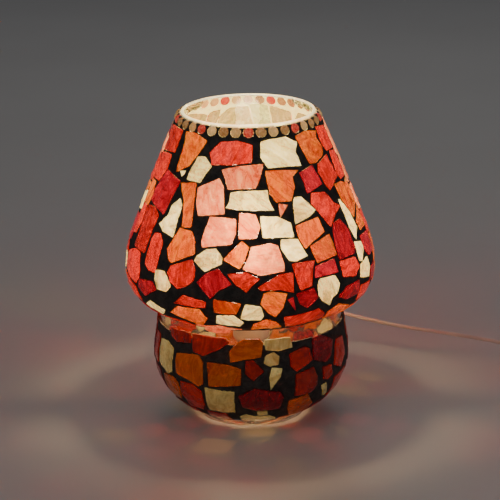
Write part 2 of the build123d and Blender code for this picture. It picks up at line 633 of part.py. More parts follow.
def make_lampholder():
    """The strip across the waist, from left to right, and the lampholder that it carries."""
    inside = waist_radius - glass_wall
    end = inside - pad_thickness
    strip_top = strip_bottom + strip_thickness
    tab_height = strip_turn_up + strip_thickness
    strip = Pos(0, 0, strip_bottom + strip_thickness / 2) * Box(2 * end, strip_width, strip_thickness)
    strip += disc(boss_radius, strip_bottom, strip_top)
    for side in (-1, 1):
        tab = Box(strip_thickness, strip_width, tab_height)
        strip += Pos(side * (end - strip_thickness / 2), 0, strip_bottom + tab_height / 2) * tab
    strip -= disc(holder_radius, strip_bottom - 1, strip_top + 1)
    nodes["holder_strip"] = strip

    cavity = make_cavity()
    pad_height = tab_height + 2 * pad_margin
    pads = []
    for side in (-1, 1):
        pad_depth = 2 * pad_thickness + strip_thickness + pad_margin
        block = Box(pad_depth, strip_width + 2 * pad_margin, pad_height)
        block = Pos(side * (end + pad_margin / 2), 0, strip_bottom - pad_margin + pad_height / 2) * block
        pads.append((block & cavity) - strip)
    nodes["strip_pads"] = [solid for pad in pads for solid in pad.solids()]

    bore = holder_radius - holder_wall
    skirt = ring_pipe(holder_radius, bore, strip_bottom - skirt_below, holder_top)
    skirt += ring_pipe(collar_radius, bore, strip_bottom - collar_height, strip_bottom)
    nodes["holder_skirt"] = skirt

    ring = ring_pipe(ring_radius, holder_radius, strip_top, strip_top + ring_height)
    notch = Cylinder(0.9, ring_height * 2)
    for number in range(ring_notches):
        ring -= Rot(0, 0, number * 360 / ring_notches) * Pos(ring_radius + 0.3, 0, strip_top) * notch
    nodes["shade_ring"] = ring

    skirt_bottom = strip_bottom - skirt_below
    cap_low = skirt_bottom - holder_cap_height
    cap = disc(holder_radius, cap_low, skirt_bottom)
    cap = fillet(cap.faces().sort_by(Axis.Z)[0].edges(), 5)
    cap -= disc(bore, cap_low + holder_wall, skirt_bottom + 1)
    cap -= disc(cord_radius, cap_low - 1, cap_low + holder_wall + 1)
    nodes["holder_cap"] = cap

    core_top = cap_bottom - bulb_contact_height - contact_thickness - running_gap
    core = disc(bore, core_top - core_height, core_top)
    terminals, screws = [], []
    for side in (-1, 1):
        seat = Pos(side * terminal_spread, 0, core_top - core_height + terminal_size / 2)
        terminals.append(seat * (Box(terminal_size, terminal_size, terminal_size)
                                 - Rot(90, 0, 0) * Cylinder(terminal_screw_radius, terminal_size)))
        core -= seat * Box(terminal_size, terminal_size, terminal_size)
        screws.append(seat * Rot(90, 0, 0) * Cylinder(terminal_screw_radius, terminal_size))
    nodes["holder_core"] = core
    nodes["holder_terminals"] = terminals
    nodes["terminal_screws"] = screws
    nodes["centre_contact"] = disc(bulb_contact_radius + 1, core_top, core_top + contact_thickness)
    shell_inside = cap_radius + running_gap
    shell = ring_pipe(shell_inside + shell_wall, shell_inside, core_top, holder_top - 3)
    flange = ring_pipe(bore, shell_inside, core_top, core_top + 0.8)
    flange -= ring_pipe(shell_inside + shell_wall, 0.1, core_top, core_top + 0.8)
    nodes["threaded_shell"] = shell + flange


def make_bulb():
    """A frosted candle bulb, which screws into the lampholder from above."""
    insulator_bottom = cap_bottom
    shell_bottom = insulator_bottom + cap_insulator_height
    contact_bottom = insulator_bottom - bulb_contact_height
    nodes["bulb_contact"] = disc(bulb_contact_radius, contact_bottom, insulator_bottom)
    cone = Cone(bulb_contact_radius + 0.8, cap_radius - 0.6, cap_insulator_height)
    nodes["bulb_insulator"] = Pos(0, 0, insulator_bottom + cap_insulator_height / 2) * cone
    nodes["bulb_cap"] = disc(cap_radius, shell_bottom, holder_top)
    glass_bottom = holder_top
    nodes["bulb_envelope"] = bulb_form(glass_bottom, 0) - bulb_form(glass_bottom, bulb_wall)
    stem_top = glass_bottom + stem_height
    stem = Cone(*stem_radii, stem_height, align=(Align.CENTER, Align.CENTER, Align.MIN))
    nodes["bulb_stem"] = Pos(0, 0, glass_bottom) * stem
    rod = Pos(filament_ring, 0, stem_top + filament_length / 2) * Cylinder(filament_radius, filament_length)
    turn = 360 / filament_count
    nodes["bulb_filaments"] = [Rot(0, 0, turn * (number + 0.5)) * rod for number in range(filament_count)]
    frame_top = stem_top + filament_length
    bridge = disc(frame_radius, frame_top, frame_top + frame_thickness)
    foot = ring_pipe(frame_radius, stem_radii[1] + 0.1, stem_top - frame_thickness, stem_top)
    nodes["bulb_filament_frame"] = [bridge, foot]


def bulb_form(bottom, inset):
    """The candle shape, drawn in from the outside by an inset."""
    profile = [(bulb_neck_radius - inset, 0)]
    profile += [(share * bulb_radius * 0.72 - inset, height) for share, height in bulb_profile]
    tip = bulb_height - inset
    side = Spline(*[(radius, 0, bottom + height) for radius, height in profile],
                  (0, 0, bottom + tip), tangents=[(0.3, 0, 1), (-1, 0, 0.0)])
    return turned([side, Line((0, 0, bottom + tip), (0, 0, bottom)),
                   Line((0, 0, bottom), (bulb_neck_radius - inset, 0, bottom))])


def tube(points):
    """A round tube along straight runs that tangent arcs join, as large as the runs allow."""
    radii = []
    for before, corner, after in zip(points, points[1:], points[2:]):
        one, two = Vector(corner) - Vector(before), Vector(after) - Vector(corner)
        turn = one.get_angle(two)
        radii.append(0.45 * min(one.length, two.length) / tan(radians(turn / 2)))
    print("cord radii", [round(radius, 1) for radius in radii])
    path = FilletPolyline(*points, radius=radii)
    start = Plane(origin=path @ 0, z_dir=path % 0)
    solid = sweep(start * Circle(cord_radius), path)
    print("tube volume / section x length", round(solid.volume / (pi * cord_radius ** 2 * path.length), 4),
          "length", round(path.length, 1))
    return solid


def make_grommet():
    """A rubber grommet whose two flanges follow the wall inside and outside."""
    flange = cord_hole(cord_hole_radius + grommet_flange)
    low, high = cord_hole_height - 20, cord_hole_height + 20
    body = skin(-glass_wall - grommet_lip, grout_thickness + grommet_lip, low, high) & flange
    wall = skin(-glass_wall, grout_thickness, low - 1, high + 1) - cord_hole(cord_hole_radius)
    nodes["cord_grommet"] = (body - wall) - cord_hole(cord_radius)


def make_cord():
    nodes["cord_line"] = tube(cord_to_switch)
    nodes["cord_link"] = tube(cord_to_coil)
    nodes["cord_tail"] = tube(cord_to_plug)
    nodes["cord_inside"] = tube(cord_inside)
    side_on = Plane(origin=(coil_mid_radius, 0, coil_height / 2), x_dir=(1, 0, 0), z_dir=(0, -1, 0))
    section = side_on * RectangleRounded(coil_width, coil_height, 3)
    coil = Pos(*coil_place, 0) * revolve(section, Axis.Z)
    outer = Box(coil_width + 2 * tie_thickness, tie_width, coil_height + tie_thickness)
    inner = Box(coil_width, tie_width, coil_height - tie_thickness)
    tie_place = Pos(coil_place[0] - coil_mid_radius, coil_place[1], 0)
    tie = tie_place * (Pos(0, 0, (coil_height + tie_thickness) / 2) * outer
                       - Pos(0, 0, tie_thickness + (coil_height - tie_thickness) / 2) * inner)
    nodes["coil_tie"] = tie
    nodes["cord_coil"] = coil - tie


def switch_shell(height, open_top):
    """One half of the switch's case: a rounded tray, open on the joint side."""
    solid = Box(switch_width, switch_length, height, align=(Align.CENTER, Align.CENTER, Align.MIN))
    solid = fillet(solid.edges().filter_by(Axis.Z), case_corner)
    face = solid.faces().sort_by(Axis.Z)[0 if open_top else -1]
    solid = fillet(face.edges(), case_edge)
    room = Box(switch_width - 2 * switch_wall, switch_length - 2 * switch_wall, height - switch_wall,
               align=(Align.CENTER, Align.CENTER, Align.MIN))
    return solid - Pos(0, 0, switch_wall if open_top else 0) * room


def make_switch():
    place = Pos(*switch_place, 0)
    passage = Pos(0, 0, switch_cord_height) * Rot(90, 0, 0) * Cylinder(cord_radius, switch_length + 2)
    screw_posts = []
    for side in (-1, 1):
        post = Cylinder(switch_screw_radius + post_wall, switch_height - 2 * switch_wall,
                        align=(Align.CENTER, Align.CENTER, Align.MIN))
        screw_posts.append(Pos(switch_screw_aside * side, side * switch_screw_spread, switch_wall) * post)
    lower = switch_shell(switch_split, True)
    upper = Pos(0, 0, switch_split) * switch_shell(switch_height - switch_split, False)
    slab_low = Pos(0, 0, switch_split / 2) * Box(switch_width, switch_length, switch_split)
    for post in screw_posts:
        lower += post & slab_low
        upper += post - slab_low
    screws = []
    for side in (-1, 1):
        screw = Cylinder(switch_screw_radius, switch_height - 4,
                         align=(Align.CENTER, Align.CENTER, Align.MIN))
        screw += Cylinder(screw_head_radius, screw_head_height,
                          align=(Align.CENTER, Align.CENTER, Align.MIN))
        screws.append(Pos(switch_screw_aside * side, side * switch_screw_spread, 0.6) * screw)
    pivot_height = switch_height - rocker_proud
    pin_length = rocker_width + 2 * rocker_gap + 2 * pin_seat
    pin = Pos(0, 0, pivot_height) * Rot(0, 90, 0) * Cylinder(pin_radius, pin_length)
    swing = rocker_depth * sin(radians(rocker_tilt)) + rocker_gap
    opening = Box(rocker_width + 2 * rocker_gap, rocker_length + 2 * swing, 4 * switch_wall)
    for side in (-1, 1):
        cheek = Box(pin_seat, cheek_width, switch_height - switch_wall - pivot_height + cheek_overlap)
        upper += Pos(side * (rocker_width / 2 + rocker_gap + pin_seat / 2), 0,
                     switch_height - switch_wall - cheek_overlap / 2) * cheek
    upper -= Pos(0, 0, switch_height) * opening
    upper -= pin
    for screw in screws:
        lower -= screw
        upper -= screw
    nodes["switch_lower_case"] = place * (lower - passage)
    nodes["switch_upper_case"] = place * (upper - passage)
    nodes["switch_screws"] = [place * screw for screw in screws]
    nodes["switch_pin"] = place * pin

    half, peak = rocker_length / 2, rocker_proud
    outline_points = [(-half, peak + rocker_crest), (0, peak - rocker_dip), (half, peak + rocker_crest),
                      (half, -rocker_side), (rocker_foot, -rocker_depth), (-rocker_foot, -rocker_depth),
                      (-half, -rocker_side)]
    side_view = make_face(Polyline(*[(0, y, z) for y, z in outline_points], close=True))
    rocker = extrude(side_view, rocker_width / 2, dir=(1, 0, 0), both=True)
    rocker = fillet(rocker.edges().filter_by(Axis.X).group_by(Axis.Z)[-1], 0.8)
    rocker -= Rot(0, 90, 0) * Cylinder(pin_radius + pin_running, rocker_width + 1)
    nodes["switch_rocker"] = place * Pos(0, 0, pivot_height) * Rot(rocker_tilt, 0, 0) * rocker

    leaves = []
    for side in (-1, 1):
        leaf = Box(4, 9, leaf_thickness) + Pos(0, side * 4.2, -1) * Box(4, leaf_thickness, 2)
        leaf_height = switch_wall + block_height + leaf_thickness / 2
        leaves.append(place * Pos(0, side * block_spread, leaf_height) * leaf)
    block = Box(block_size, block_size, block_height, align=(Align.CENTER, Align.CENTER, Align.MIN))
    posts = [place * Pos(0, side * block_spread, switch_wall) * block for side in (-1, 1)]
    nodes["switch_contacts"] = [leaf - post for leaf, post in zip(leaves, posts)]
    nodes["switch_blocks"] = posts


def make_plug():
    middle = plug_height / 2
    place = Pos(plug_place[0], plug_place[1], middle)
    body = Box(plug_width, plug_length, plug_height, align=(Align.CENTER, Align.MIN, Align.CENTER))
    body = chamfer(body.edges().filter_by(Axis.Z).group_by(Axis.Y)[0], *plug_shoulder)
    body = fillet(body.edges().filter_by(Axis.Z).group_by(Axis.Y)[-1], plug_corner)
    body = fillet(body.faces().filter_by(Axis.Z).edges(), plug_edge)
    pins = []
    for side in (-1, 1):
        pin = Cylinder(plug_pin_radius, plug_pin_length, align=(Align.CENTER, Align.CENTER, Align.MIN))
        pin = fillet(pin.faces().sort_by(Axis.Z)[-1].edges(), plug_pin_tip)
        pins.append(place * Pos(side * plug_pin_spacing / 2, plug_length, 0) * Rot(-90, 0, 0) * pin)
    relief = Cone(relief_small_radius, relief_big_radius, relief_length,
                  align=(Align.CENTER, Align.CENTER, Align.MAX))
    nodes["plug_body"] = place * body
    nodes["plug_pins"] = pins
    nodes["plug_relief"] = place * Rot(-90, 0, 0) * relief


def main():
    os.makedirs("parts", exist_ok=True)
    nodes["glass_body"] = make_glass()
    nodes.update(make_mosaic())
    make_lampholder()
    make_bulb()
    make_grommet()
    make_cord()
    make_switch()
    make_plug()
    for name, shape in nodes.items():
        solids = shape if isinstance(shape, list) else shape.solids()
        export_step(Compound(children=list(solids)), f"parts/{name}.step")


main()
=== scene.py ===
import bpy
import math
from mathutils import Matrix, Vector


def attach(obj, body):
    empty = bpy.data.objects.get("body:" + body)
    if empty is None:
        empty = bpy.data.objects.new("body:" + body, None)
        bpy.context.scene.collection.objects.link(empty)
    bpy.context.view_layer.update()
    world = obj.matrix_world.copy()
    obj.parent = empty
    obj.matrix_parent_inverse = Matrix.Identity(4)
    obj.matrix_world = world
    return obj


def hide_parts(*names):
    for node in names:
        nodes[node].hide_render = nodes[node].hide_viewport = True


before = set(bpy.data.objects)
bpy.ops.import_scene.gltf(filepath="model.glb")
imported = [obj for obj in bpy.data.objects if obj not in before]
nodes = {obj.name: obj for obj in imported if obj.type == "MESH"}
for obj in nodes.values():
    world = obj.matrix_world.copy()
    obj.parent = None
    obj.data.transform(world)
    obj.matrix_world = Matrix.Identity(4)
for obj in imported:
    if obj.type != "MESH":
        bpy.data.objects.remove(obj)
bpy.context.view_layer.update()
mm = 0.001
mergeGap = 0.01 * mm
print("stage: frame loaded")

# the camera stands in front of the lamp and a little above it
view = {"aim": (0, 0, 0.110), "distance": 1.6, "height": 18.2, "lens": 150.1, "lookUp": 0.60, "roll": -0.76}


def placeCamera(view):
    height = math.radians(view["height"])
    away = Vector((0, -math.cos(height), math.sin(height))) * view["distance"]
    lensData = bpy.data.cameras.new("camera")
    lensData.lens = view["lens"]
    lensData.sensor_width = 36
    lensData.clip_start = 0.05
    camera = bpy.data.objects.new("camera", lensData)
    bpy.context.scene.collection.objects.link(camera)
    turn = Matrix.Rotation(math.radians(90 - view["height"] + view["lookUp"]), 4, "X")
    roll = Matrix.Rotation(math.radians(view["roll"]), 4, "Z")
    camera.matrix_world = Matrix.Translation(Vector(view["aim"]) + away) @ turn @ roll
    bpy.context.scene.camera = camera


placeCamera(view)

# soft studio light, kept low so that the lamp's own light shows
studio = {
    "world": (0.75, 0.78, 0.85), "worldStrength": 0.11,
    "softboxes": [
        ("key", (-0.9, -1.0, 1.3), 1.1, 3.2, (1.0, 0.97, 0.93)),
        ("fill", (1.3, -0.5, 0.8), 1.2, 1.5, (0.92, 0.95, 1.0)),
        ("back", (0.2, 1.2, 1.2), 1.0, 1.6, (1.0, 0.98, 0.96)),
    ],
    "bulbPlace": (0, 0, 0.142), "bulbPower": 0.9, "bulbColour": (1.0, 0.66, 0.38), "bulbSize": 0.014,
}


def placeLights(studio):
    world = bpy.data.worlds.new("studio")
    bpy.context.scene.world = world
    world.use_nodes = True
    sky = world.node_tree.nodes["Background"]
    sky.inputs["Color"].default_value = (*studio["world"], 1)
    sky.inputs["Strength"].default_value = studio["worldStrength"]
    for name, place, size, power, colour in studio["softboxes"]:
        box = bpy.data.lights.new(name, "AREA")
        box.size = size
        box.energy = power
        box.color = colour
        lamp = bpy.data.objects.new(name, box)
        bpy.context.scene.collection.objects.link(lamp)
        lamp.location = place
        lamp.rotation_euler = (Vector((0, 0, 0.1)) - Vector(place)).to_track_quat("-Z", "Y").to_euler()
    glow = bpy.data.lights.new("bulbLight", "POINT")
    glow.energy = studio["bulbPower"]
    glow.color = studio["bulbColour"]
    glow.shadow_soft_size = studio["bulbSize"]
    lamp = bpy.data.objects.new("bulbLight", glow)
    bpy.context.scene.collection.objects.link(lamp)
    lamp.location = studio["bulbPlace"]


placeLights(studio)


def deselectAll():
    if bpy.context.object and bpy.context.object.mode != "OBJECT":
        bpy.ops.object.mode_set(mode="OBJECT")
    bpy.ops.object.select_all(action="DESELECT")


def makeActive(piece):
    deselectAll()
    piece.select_set(True)
    bpy.context.view_layer.objects.active = piece


def applyAll(piece):
    makeActive(piece)
    for modifier in list(piece.modifiers):
        bpy.ops.object.modifier_apply(modifier=modifier.name)


# Material helpers
class Recipe:
    def __init__(self, name):
        self.material = bpy.data.materials.new(name)
        self.material.use_nodes = True
        self.tree = self.material.node_tree
        self.tree.nodes.clear()
        self.out = self.add("ShaderNodeOutputMaterial")
        self.coords = self.add("ShaderNodeTexCoord")

    def add(self, kind, **settings):
        node = self.tree.nodes.new(kind)
        for key, value in settings.items():
            setattr(node, key, value)
        return node

    def join(self, source, target):
        self.tree.links.new(source, target)

    def feed(self, socket, value):
        if isinstance(value, bpy.types.NodeSocket):
            self.join(value, socket)
        elif isinstance(value, tuple) and socket.type == "RGBA":
            socket.default_value = (*value, 1) if len(value) == 3 else value
        else:
            socket.default_value = value

    def shader(self, **values):
        node = self.add("ShaderNodeBsdfPrincipled")
        for key, value in values.items():
            self.feed(node.inputs[key.replace("_", " ")], value)
        return node

    def noise(self, scale, detail=3.0, roughness=0.5, distortion=0.0, vector=None):
        node = self.add("ShaderNodeTexNoise")
        node.inputs["Scale"].default_value = scale
        node.inputs["Detail"].default_value = detail
        node.inputs["Roughness"].default_value = roughness
        node.inputs["Distortion"].default_value = distortion
        self.join(vector or self.coords.outputs["Object"], node.inputs["Vector"])
        return node.outputs["Fac"]

    def cells(self, scale):
        node = self.add("ShaderNodeTexVoronoi")
        node.inputs["Scale"].default_value = scale
        self.join(self.coords.outputs["Object"], node.inputs["Vector"])
        return node.outputs["Distance"]

    def math(self, operation, first, second):
        node = self.add("ShaderNodeMath", operation=operation)
        self.feed(node.inputs[0], first)
        self.feed(node.inputs[1], second)
        return node.outputs[0]

    def span(self, value, low, high, toLow, toHigh):
        node = self.add("ShaderNodeMapRange")
        for socket, number in zip(node.inputs[1:5], (low, high, toLow, toHigh)):
            socket.default_value = number
        self.feed(node.inputs[0], value)
        return node.outputs[0]

    def mix(self, factor, first, second, blend="MIX"):
        node = self.add("ShaderNodeMix", data_type="RGBA", blend_type=blend)
        self.feed(node.inputs[0], factor)
        self.feed(node.inputs[6], first)
        self.feed(node.inputs[7], second)
        return node.outputs[2]

    def ramp(self, factor, stops):
        node = self.add("ShaderNodeValToRGB")
        steps = node.color_ramp.elements
        while len(steps) < len(stops):
            steps.new(0.5)
        for step, (place, colour) in zip(steps, stops):
            step.position = place
            step.color = (*colour, 1)
        self.feed(node.inputs[0], factor)
        return node.outputs[0]

    def bump(self, height, strength, distance, under=None):
        node = self.add("ShaderNodeBump")
        node.inputs["Strength"].default_value = strength
        node.inputs["Distance"].default_value = distance
        self.join(height, node.inputs["Height"])
        if under:
            self.join(under, node.inputs["Normal"])
        return node.outputs["Normal"]

    def height(self):
        split = self.add("ShaderNodeSeparateXYZ")
        self.join(self.coords.outputs["Object"], split.inputs[0])
        return split.outputs[2]

    # 1 on faces that look towards the lamp's own axis
    def inward(self):
        flat = self.add("ShaderNodeVectorMath", operation="MULTIPLY")
        self.join(self.coords.outputs["Object"], flat.inputs[0])
        flat.inputs[1].default_value = (1, 1, 0)
        out = self.add("ShaderNodeVectorMath", operation="NORMALIZE")
        self.join(flat.outputs[0], out.inputs[0])
        dot = self.add("ShaderNodeVectorMath", operation="DOT_PRODUCT")
        self.join(out.outputs[0], dot.inputs[0])
        self.join(self.coords.outputs["Normal"], dot.inputs[1])
        return self.span(dot.outputs["Value"], -0.35, -0.15, 1.0, 0.0)

    def finish(self, shader):
        self.join(shader, self.out.inputs["Surface"])
        return self.material

    # light from the bulb passes tinted, so it reaches the floor
    def finishClear(self, shader, tint):
        clear = self.add("ShaderNodeBsdfTransparent")
        self.feed(clear.inputs["Color"], tint)
        path = self.add("ShaderNodeLightPath")
        blend = self.add("ShaderNodeMixShader")
        self.join(path.outputs["Is Shadow Ray"], blend.inputs[0])
        self.join(shader, blend.inputs[1])
        self.join(clear.outputs[0], blend.inputs[2])
        return self.finish(blend.outputs[0])


def setMaterial(piece, material):
    piece.data.materials.clear()
    piece.data.materials.append(material)


def openMesh(piece):
    makeActive(piece)
    bpy.ops.object.mode_set(mode="EDIT")
    bpy.ops.mesh.select_all(action="SELECT")


def closeMesh():
    bpy.ops.object.mode_set(mode="OBJECT")


# A merged copy of a CAD node, ready to be worked on
def copyNode(name, newName):
    source = nodes[name]
    piece = source.copy()
    piece.data = source.data.copy()
    piece.name = piece.data.name = newName
    for key in list(piece.keys()):
        del piece[key]
    piece.parent = None
    piece.modifiers.clear()
    bpy.context.scene.collection.objects.link(piece)
    openMesh(piece)
    bpy.ops.mesh.remove_doubles(threshold=mergeGap)
    closeMesh()
    return piece


def smoothByAngle(piece, angle):
    makeActive(piece)
    bpy.ops.object.shade_smooth_by_angle(angle=math.radians(angle))


divideRounds = 6
longShare = 1.6


# Splits edges until none is much longer than the given length
def divideLong(piece, length):
    for step in range(divideRounds):
        points = [vertex.co for vertex in piece.data.vertices]
        ends = [tuple(edge.vertices) for edge in piece.data.edges]
        long = [number for number, (one, other) in enumerate(ends)
                if (points[one] - points[other]).length > longShare * length]
        if not long:
            break
        makeActive(piece)
        bpy.ops.object.mode_set(mode="EDIT")
        bpy.ops.mesh.select_mode(type="EDGE")
        bpy.ops.mesh.select_all(action="DESELECT")
        bpy.ops.object.mode_set(mode="OBJECT")
        for number in long:
            piece.data.edges[number].select = True
        bpy.ops.object.mode_set(mode="EDIT")
        bpy.ops.mesh.subdivide(number_cuts=1)
        bpy.ops.mesh.select_all(action="SELECT")
        bpy.ops.mesh.quads_convert_to_tris()
        bpy.ops.object.mode_set(mode="OBJECT")


# Glass chips: nipped pieces of streaky glass; their glow from the bulb behind them is painted light, an
# emission that rises with height
chipLook = {
    "red": {"deep": (0.44, 0.007, 0.004), "light": (0.84, 0.042, 0.012), "glow": 0.54},
    "crimson": {"deep": (0.30, 0.002, 0.008), "light": (0.62, 0.012, 0.028), "glow": 0.42},
    "orange": {"deep": (0.66, 0.055, 0.001), "light": (0.97, 0.25, 0.004), "glow": 0.50},
    "cream": {"deep": (0.80, 0.56, 0.17), "light": (1.0, 0.82, 0.34), "glow": 1.0},
    # pink is the red glass made brighter and paler, a painted light copy of red for the bulb's hot spot
    "pink": {"deep": (0.78, 0.09, 0.02), "light": (1.0, 0.36, 0.13), "glow": 0.85},
}
chipCut = {
    "edge": 0.4 * mm, "edgeSteps": 2, "flat": 4.0, "smooth": 50, "cell": 1.5 * mm,
    "nip": 1.35 * mm, "nipLevel": 0.43, "nipSize": 5.5 * mm,
    "streakScale": 60.0, "wispScale": 192.0, "wispShare": 0.65, "streakTurn": 19.0,
    "streakStretch": (1.0, 1.0, 0.28),
    "grainScale": 900.0, "rippleScale": 260.0, "seedScale": 300.0, "ownShare": 0.45,
    "clear": 0.46, "roughness": 0.27, "coat": 0.5,
    # the base chips' lower glow share and their darkening tint are painted shade
    "basePaintedGlow": 0.16, "basePaintedShade": (0.55, 0.55, 0.55),
    # film: the chips' pale backs seen from inside, partly painted light, as they show only where the bulb
    # lights them
    "film": (0.44, 0.45, 0.15), "filmShare": 0.9, "insidePaintedGlow": 0.12,
    # heights, in metres, between which the film and the painted glow come in, and the painted glow at each
    "filmPaintedLightFrom": (0.13, 0.18), "insidePaintedGlowFrom": (0.15, 0.20),
    "basePaintedGlowRise": (0.02, 0.075, 0.6, 1.4), "shadePaintedGlowRise": (0.088, 0.13, 0.35, 1.0),
}


def chipGlass(colour, zone, look, cut):
    recipe = Recipe(f"{zone}Glass{colour.capitalize()}")
    geometry = recipe.add("ShaderNodeNewGeometry")
    own = geometry.outputs["Random Per Island"]
    # each chip's streaks run their own way
    turn = recipe.add("ShaderNodeVectorRotate", rotation_type="Y_AXIS")
    recipe.join(recipe.coords.outputs["Object"], turn.inputs["Vector"])
    recipe.join(recipe.math("MULTIPLY", own, cut["streakTurn"]), turn.inputs["Angle"])
    pull = recipe.add("ShaderNodeMapping")
    pull.inputs["Scale"].default_value = cut["streakStretch"]
    recipe.join(turn.outputs[0], pull.inputs["Vector"])
    wisp = recipe.noise(cut["wispScale"], 5.0, 0.62, 1.2, vector=pull.outputs[0])
    cloud = recipe.noise(cut["streakScale"], 4.0, 0.55, 0.8)
    grain = recipe.noise(cut["grainScale"], 2.0, 0.7)
    ripple = recipe.noise(cut["rippleScale"], 3.0, 0.55, 0.6, vector=pull.outputs[0])
    seeds = recipe.cells(cut["seedScale"])
    streak = recipe.math("ADD", recipe.math("MULTIPLY", wisp, cut["wispShare"]),
                         recipe.math("MULTIPLY", cloud, 1 - cut["wispShare"]))
    streakShare = recipe.span(streak, 0.38, 0.62, 0.0, 1.0)
    tone = recipe.mix(streakShare, look["deep"], look["light"])
    tone = recipe.mix(recipe.math("MULTIPLY", own, cut["ownShare"]), tone, look["light"])
    # inner faces high in the shade take the pale film colour, shown only where the bulb's light falls: partly
    # real film, partly painted light
    inside = recipe.inward()
    filmAndPaintedLight = recipe.span(recipe.height(), *cut["filmPaintedLightFrom"], 0.0, cut["filmShare"])
    filmAndPaintedLight = recipe.math("MULTIPLY", inside, filmAndPaintedLight)
    tone = recipe.mix(filmAndPaintedLight, tone, cut["film"])
    # the emission strength is painted light: the bulb's light through each chip, varied by streaks, chip and
    # seeds
    level = recipe.span(grain, 0.32, 0.68, 0.62, 1.38)
    level = recipe.math("MULTIPLY", level, recipe.span(wisp, 0.36, 0.64, 0.5, 1.5))
    level = recipe.math("MULTIPLY", level, recipe.span(own, 0.0, 1.0, 0.65, 1.35))
    level = recipe.math("MULTIPLY", level, recipe.span(seeds, 0.0, 0.09, 0.45, 1.0))
    share = look["glow"] * (cut["basePaintedGlow"] if zone == "base" else 1.0)
    if zone == "base":
        rise = recipe.span(recipe.height(), *cut["basePaintedGlowRise"])
        # the base chips' colour is darkened by a painted shade, as the bulb's light reaches them dimly
        tone = recipe.mix(1.0, tone, cut["basePaintedShade"], "MULTIPLY")
    else:
        rise = recipe.span(recipe.height(), *cut["shadePaintedGlowRise"])
    level = recipe.math("MULTIPLY", recipe.math("MULTIPLY", level, rise), share)
    # inner faces high in the shade get extra emission, painted light from the bulb falling on them
    if zone == "shade":
        high = recipe.span(recipe.height(), *cut["insidePaintedGlowFrom"], 0.0, cut["insidePaintedGlow"])
        high = recipe.math("MULTIPLY", inside, high)
        level = recipe.math("ADD", level, high)
    normal = recipe.bump(ripple, 0.7, 0.0009)
    normal = recipe.bump(grain, 0.5, 0.0002, normal)
    shader = recipe.shader(Base_Color=tone, Roughness=cut["roughness"], Transmission_Weight=cut["clear"],
                           IOR=1.3, Coat_Weight=cut["coat"], Coat_Roughness=0.12, Emission_Color=tone,
                           Emission_Strength=level, Normal=normal)
    return recipe.finishClear(shader.outputs[0], tone)


def makeChips(look, cut):
    nips = bpy.data.textures.new("chipNips", "CLOUDS")
    nips.noise_scale = cut["nipSize"]
    nips.noise_depth = 2
    for zone in ("shade", "base"):
        for colour in look:
            name = f"{zone}_chips_{colour}"
            piece = copyNode(name, f"{zone}Chips{colour.capitalize()}")
            openMesh(piece)
            bpy.ops.mesh.dissolve_limited(angle_limit=math.radians(cut["flat"]))
            bpy.ops.mesh.quads_convert_to_tris()
            closeMesh()
            divideLong(piece, cut["cell"])
            ragged = piece.modifiers.new("nips", "DISPLACE")
            ragged.texture = nips
            ragged.texture_coords = "LOCAL"
            ragged.strength = cut["nip"]
            ragged.mid_level = cut["nipLevel"]
            ragged.direction = "NORMAL"
            bevel = piece.modifiers.new("edges", "BEVEL")
            bevel.width = cut["edge"]
            bevel.segments = cut["edgeSteps"]
            bevel.limit_method = "ANGLE"
            bevel.angle_limit = math.radians(40)
            applyAll(piece)
            smoothByAngle(piece, cut["smooth"])
            print("chips", piece.name, len(piece.data.polygons))
            setMaterial(piece, chipGlass(colour, zone, look[colour], cut))
            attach(piece, "lamp")
            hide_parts(name)


makeChips(chipLook, chipCut)
print("stage: chips")

# Round glass dots under the rim
beadLook = {
    "amber": [(0.62, 0.37, 0.12), (0.36, 0.16, 0.035), (0.76, 0.54, 0.23), (0.26, 0.10, 0.02)],
    "red": [(0.50, 0.010, 0.006), (0.66, 0.03, 0.012)],
    "pale": (0.95, 0.80, 0.5), "paleShare": 0.22,
    "glow": 0.30, "roughness": 0.12, "clear": 0.35,
}


def beadGlass(name, colours, look):
    recipe = Recipe(name)
    geometry = recipe.add("ShaderNodeNewGeometry")
    own = geometry.outputs["Random Per Island"]
    stops = [(place / (len(colours) - 1), colour) for place, colour in enumerate(colours)]
    tone = recipe.ramp(own, stops)
    swirl = recipe.noise(420, 4.0, 0.6, 2.5)
    tone = recipe.mix(recipe.span(swirl, 0.4, 0.65, 0.0, look["paleShare"]), tone, look["pale"])
    # the beads' emission is painted light, the bulb's light showing through them
    level = recipe.span(swirl, 0.3, 0.7, look["glow"] * 0.7, look["glow"] * 1.3)
    shader = recipe.shader(Base_Color=tone, Roughness=look["roughness"], Transmission_Weight=look["clear"],
                           IOR=1.4, Coat_Weight=0.8, Coat_Roughness=0.05, Emission_Color=tone,
                           Emission_Strength=level, Normal=recipe.bump(swirl, 0.3, 0.0002))
    return recipe.finishClear(shader.outputs[0], tone)


def makeBeads(look):
    for name, newName, colours, slotName in (
            ("rim_beads_amber", "rimDotsAmber", look["amber"], "amber_glass"),
            ("rim_beads_red", "rimDotsRed", look["red"], "red_glass")):
        piece = copyNode(name, newName)
        smoothByAngle(piece, 40)
        setMaterial(piece, beadGlass(newName, colours, look))
        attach(piece, "lamp")
        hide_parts(name)


makeBeads(beadLook)
print("stage: rim dots")

# Black grout between the chips, hand-filled and a little uneven
groutLook = {
    # the pit colour is a painted shade for the small hollows in the grout
    "colour": (0.020, 0.017, 0.015), "worn": (0.075, 0.06, 0.05), "paintedPitShade": (0.004, 0.003, 0.003),
    # bed: the pale bed's colour, shown only high up and glowing there as painted light
    "bed": (0.80, 0.74, 0.30), "bedPaintedLightFrom": (0.12, 0.20),
    "voxel": 0.95 * mm, "lump": 0.5 * mm, "lumpSize": 6 * mm,
}


